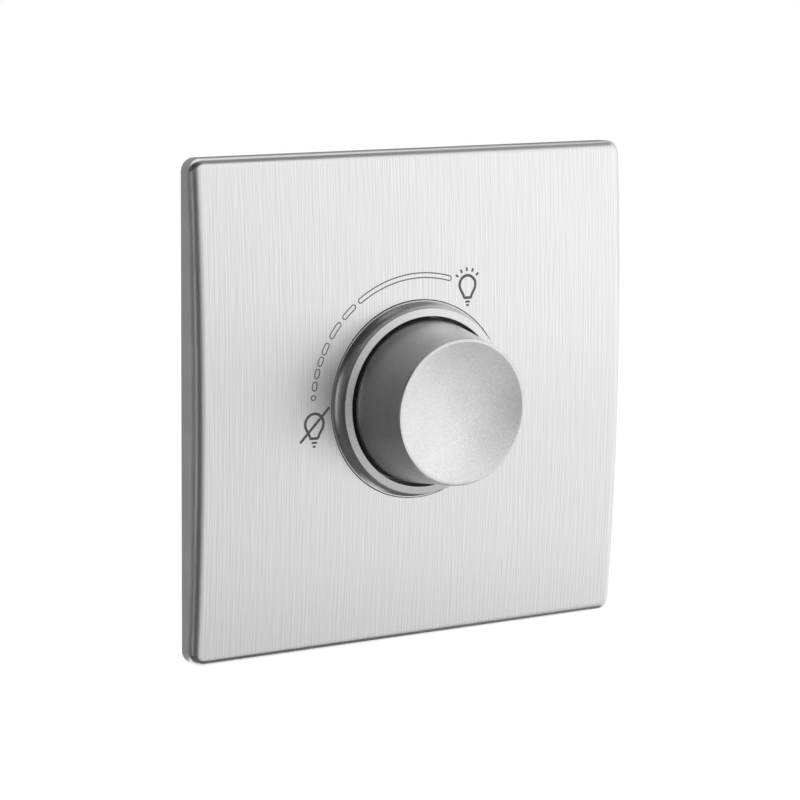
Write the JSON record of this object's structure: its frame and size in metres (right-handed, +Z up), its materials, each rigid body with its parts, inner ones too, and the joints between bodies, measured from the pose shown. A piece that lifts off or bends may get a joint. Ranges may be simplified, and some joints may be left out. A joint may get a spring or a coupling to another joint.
{
  "type": "dimmer switch",
  "caption": "Rotary wall dimmer with a bowed square brushed steel plate, collar ring and dished silver knob.",
  "frame": {"origin": "on the wall's surface, midway between the two wall-box screws, on the knob's axis", "axes": "+X to the right and +Z up as seen from the room, +Y into the wall; the knob faces -Y"},
  "size_m": [0.09, 0.0472, 0.09],
  "materials": {
    "brushed_stainless": "vertical brushed satin",
    "silver_paint": "fine metallic satin",
    "carrier_plastic": "moulded satin",
    "frame_steel": "zinc plated",
    "screw_steel": "zinc plated",
    "spring_steel": "bright",
    "shaft_alloy": "turned",
    "nickel": "satin plated",
    "housing_plastic": "moulded matt",
    "control_plastic": "moulded phenolic",
    "board_laminate": "solder mask",
    "sink_aluminium": "mill finish",
    "component_epoxy": "moulded epoxy",
    "ferrite": "sintered matt",
    "copper_wire": "enamelled",
    "capacitor_case": "moulded",
    "resistor_coat": "baked lacquer",
    "fuse_glass": "clear",
    "terminal_brass": "machined"
  },
  "bodies": {
    "module": {"cover_skin": "brushed_stainless", "cover_carrier": "carrier_plastic", "collar_ring": "silver_paint", "shaft_bush": "nickel", "bush_nut": "nickel", "bush_washer": "nickel", "track_can": "nickel", "track_wafer": "control_plastic", "switch_case": "component_epoxy", "switch_leaf": "spring_steel", "switch_contact": "nickel", "support_frame": "frame_steel", "housing_lid": "housing_plastic", "rear_housing": "housing_plastic", "circuit_board": "board_laminate", "heat_sink": "sink_aluminium", "triac_tab": "nickel", "triac_body": "component_epoxy", "triac_screw": "screw_steel", "choke_core": "ferrite", "choke_winding": "copper_wire", "film_capacitor": "capacitor_case", "timing_capacitor": "capacitor_case", "diac": "resistor_coat", "fuse_tube": "fuse_glass", "box_screw_left": "screw_steel", "fuse_cap_left": "nickel", "fuse_clip_left": "spring_steel", "resistor_left": "resistor_coat", "frame_screw_bottom_left": "screw_steel", "frame_screw_top_left": "screw_steel", "box_screw_right": "screw_steel", "fuse_cap_right": "nickel", "fuse_clip_right": "spring_steel", "resistor_right": "resistor_coat", "frame_screw_bottom_right": "screw_steel", "frame_screw_top_right": "screw_steel", "terminal_pillar_1": "terminal_brass", "terminal_screw_1": "screw_steel", "terminal_pillar_2": "terminal_brass", "terminal_screw_2": "screw_steel", "terminal_pillar_3": "terminal_brass", "terminal_screw_3": "screw_steel"},
    "knob_and_shaft": {"knob": "silver_paint", "knob_spring": "spring_steel", "shaft": "shaft_alloy", "wiper_rotor": "component_epoxy", "wiper_spring": "spring_steel", "switch_cam": "housing_plastic"}
  },
  "joints": [
    {"name": "knob_turn", "type": "hinge", "parent": "module", "child": "knob_and_shaft", "pos_m": [0, 0, 0], "axis": [0, 1, 0], "range_deg": [0, 270]}
  ]
}
